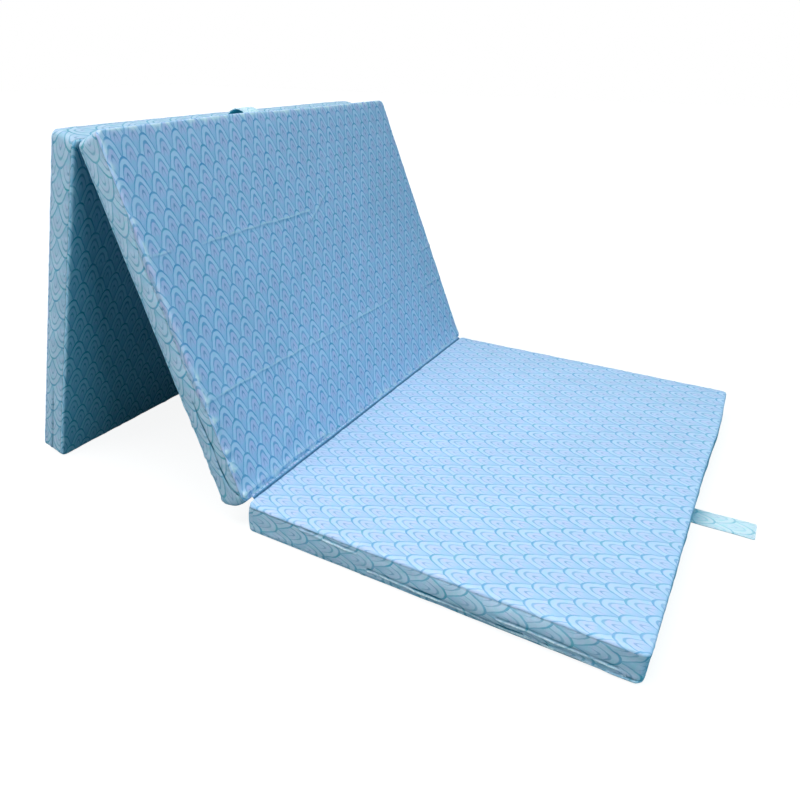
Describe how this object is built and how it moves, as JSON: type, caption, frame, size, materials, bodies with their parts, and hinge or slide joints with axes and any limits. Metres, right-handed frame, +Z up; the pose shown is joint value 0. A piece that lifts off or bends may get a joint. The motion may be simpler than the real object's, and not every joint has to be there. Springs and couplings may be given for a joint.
{
  "type": "folding mattress",
  "caption": "Tri-fold foam mattress in a printed cover, set up as a floor chair: flat seat, leaning backrest and a rear leg that props it up.",
  "frame": {"origin": "middle of the seat panel's flat underside, on the floor", "axes": "+X along the seat panel towards its free end, +Y across the width, +Z up"},
  "size_m": [1.2091, 0.9204, 0.6248],
  "materials": {
    "foam": "matte",
    "face_cloth": "matte",
    "back_cloth": "matte",
    "band_cloth": "matte",
    "fold_seam": "matte",
    "strap_cloth": "matte"
  },
  "bodies": {
    "seat": {"seat_foam": "foam", "seat_face_cloth": "face_cloth", "seat_back_cloth": "back_cloth", "seat_side_band": "band_cloth"},
    "backrest": {"backrest_foam": "foam", "backrest_face_cloth": "face_cloth", "backrest_back_cloth": "back_cloth", "backrest_side_band": "band_cloth", "front_fold_seam": "fold_seam"},
    "rear_leg": {"rear_leg_foam": "foam", "rear_leg_face_cloth": "face_cloth", "rear_leg_back_cloth": "back_cloth", "rear_leg_side_band": "band_cloth", "rear_fold_seam": "fold_seam", "closing_loop": "strap_cloth"},
    "closing_strap": {"closing_strap": "strap_cloth"}
  },
  "joints": [
    {"name": "front_fold", "type": "hinge", "parent": "seat", "child": "backrest", "pos_m": [-0.3078, 0, 0.056], "axis": [0, 1, 0], "range_deg": [-65.8, 114.2]},
    {"name": "rear_fold", "type": "hinge", "parent": "backrest", "child": "rear_leg", "pos_m": [-0.61198, 0, 0.59256], "axis": [0, 1, 0], "range_deg": [-37.8, 142.19], "deforming": ["closing_loop"]},
    {"name": "strap_root", "type": "hinge", "parent": "seat", "child": "closing_strap", "pos_m": [0.30422, -0.011, 0.0008], "axis": [0, 1, 0], "range_deg": [-30, 90]}
  ]
}
